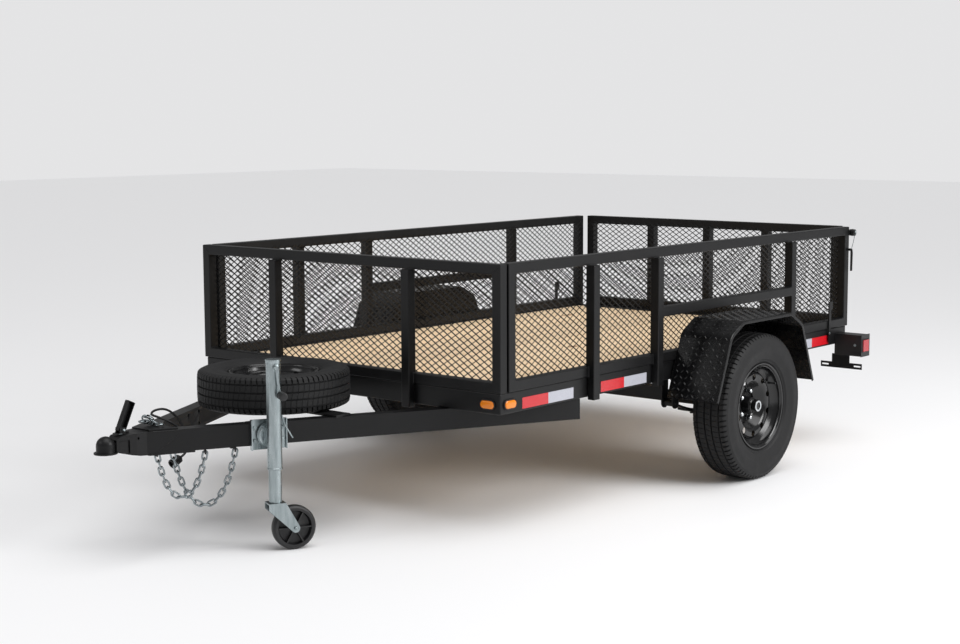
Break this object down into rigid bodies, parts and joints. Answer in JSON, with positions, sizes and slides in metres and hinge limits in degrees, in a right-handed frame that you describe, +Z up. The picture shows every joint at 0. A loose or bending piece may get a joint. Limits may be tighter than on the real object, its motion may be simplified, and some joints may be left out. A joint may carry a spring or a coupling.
{
  "type": "utility trailer",
  "caption": "Single-axle utility trailer with expanded-metal sides, timber deck, drop-down tailgate, A-frame tongue with flat spare wheel and a swivel jack on a caster.",
  "frame": {"origin": "on the floor under the middle of the trailer, at the bottom centre of its bounding box", "axes": "+X to the trailer's left side, +Y to its rear, +Z up"},
  "size_m": [2, 3.717, 0.956],
  "materials": {
    "powder_coat": "satin black powder coat",
    "mesh": "black powder coat",
    "fender": "black tread plate",
    "rim": "gloss black",
    "tyre": "matt",
    "zinc": "zinc plated",
    "plastic": "black",
    "red_lens": "clear red",
    "amber_lens": "amber",
    "pine": "sawn"
  },
  "bodies": {
    "root": {"main_frame": "powder_coat", "cross_members": "powder_coat", "front_panel": "powder_coat", "left_wall": "powder_coat", "right_wall": "powder_coat", "axle": "powder_coat", "leaf_springs": "powder_coat", "spring_hangers": "powder_coat", "spring_clamps": "powder_coat", "tongue_rails": "powder_coat", "tongue_plates": "powder_coat", "spare_carrier": "powder_coat", "gate_fittings": "powder_coat", "coupler": "powder_coat", "coupler_latch": "powder_coat", "plate_bracket": "powder_coat", "front_mesh": "mesh", "left_mesh": "mesh", "right_mesh": "mesh", "left_fender": "fender", "right_fender": "fender", "spare_rim": "rim", "spare_tyre": "tyre", "safety_chains": "zinc", "chain_hooks": "zinc", "jack_mount": "zinc", "wiring_cable": "plastic", "wiring_plug": "plastic", "light_boxes": "plastic", "tail_lenses": "red_lens", "marker_lights": "amber_lens", "deck_boards": "pine"},
    "tailgate": {"tailgate": "powder_coat", "tailgate_mesh": "mesh"},
    "left_wheel": {"left_tyre": "tyre", "left_rim": "rim", "left_hub": "zinc"},
    "right_wheel": {"right_tyre": "tyre", "right_rim": "rim", "right_hub": "zinc"},
    "jack_outer": {"jack_tube": "zinc", "jack_crank": "plastic"},
    "jack_leg": {"jack_inner": "zinc"},
    "jack_caster": {"caster_fork": "zinc"},
    "jack_wheel": {"caster_wheel": "plastic"}
  },
  "joints": [
    {"name": "left_wheel_spin", "type": "hinge", "parent": "root", "child": "left_wheel", "pos_m": [0.905, 0.6945, 0.296], "axis": [1, 0, 0], "continuous": true},
    {"name": "right_wheel_spin", "type": "hinge", "parent": "root", "child": "right_wheel", "pos_m": [-0.905, 0.6945, 0.296], "axis": [1, 0, 0], "continuous": true},
    {"name": "tailgate_hinge", "type": "hinge", "parent": "root", "child": "tailgate", "pos_m": [0, 1.8465, 0.49], "axis": [-1, 0, 0], "range_deg": [0, 170]},
    {"name": "jack_swivel", "type": "hinge", "parent": "root", "child": "jack_outer", "pos_m": [0.24545, -1.31876, 0.39], "axis": [0.8923, -0.4514, 0], "range_deg": [0, 90]},
    {"name": "jack_slide", "type": "slide", "parent": "jack_outer", "child": "jack_leg", "axis": [0, 0, 1], "range_m": [-0.12, 0.1]},
    {"name": "caster_swivel", "type": "hinge", "parent": "jack_leg", "child": "jack_caster", "pos_m": [0.29542, -1.34404, 0.168], "axis": [0, 0, 1], "continuous": true},
    {"name": "caster_spin", "type": "hinge", "parent": "jack_caster", "child": "jack_wheel", "pos_m": [0.32341, -1.28872, 0.076], "axis": [0.8923, -0.4514, 0], "continuous": true}
  ]
}
